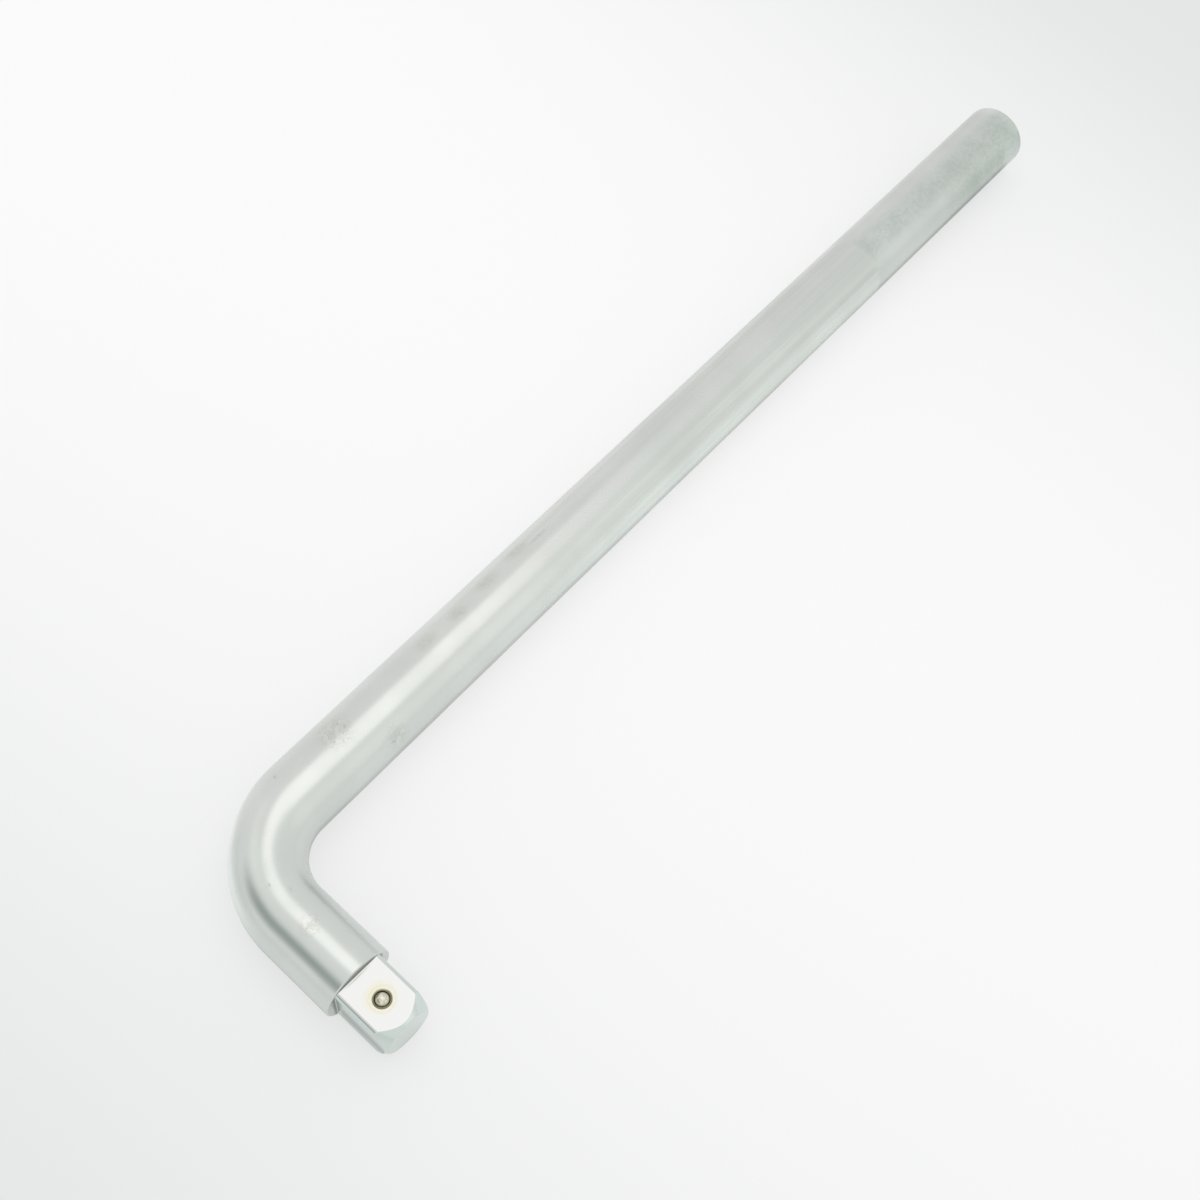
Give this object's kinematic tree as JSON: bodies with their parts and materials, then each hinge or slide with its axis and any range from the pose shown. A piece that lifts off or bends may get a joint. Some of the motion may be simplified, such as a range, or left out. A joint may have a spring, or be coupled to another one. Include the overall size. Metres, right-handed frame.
{
  "type": "l-handle socket wrench",
  "caption": "Round steel bar bent to an L, with a matte grip at the handle's end and a square drive with a spring-loaded ball on the short leg, for turning sockets",
  "frame": {"origin": "centre of the square drive's end face", "axes": "-Y is the way the drive points, +X the side the long handle runs off to, and +Z the side of the drive that carries the ball. The L lies flat in XY and rests at the bottom of Z."},
  "size_m": [0.4741, 0.1114, 0.027],
  "materials": {
    "chromed_bar": "satin chrome plate, finely textured and matte at the grip, smoother on the drive",
    "ball_steel": "polished, slightly stained",
    "spring_steel": "bright wire"
  },
  "bodies": {
    "handle": {"l_bar": "chromed_bar", "detent_spring": "spring_steel"},
    "ball": {"detent_ball": "ball_steel"}
  },
  "joints": [
    {"name": "ball_press", "type": "slide", "parent": "handle", "child": "ball", "axis": [0, 0, -1], "range_m": [0, 0.001], "stiffness_N_per_m": 3000, "springref_m": -0.002, "deforming": ["detent_spring"]}
  ]
}
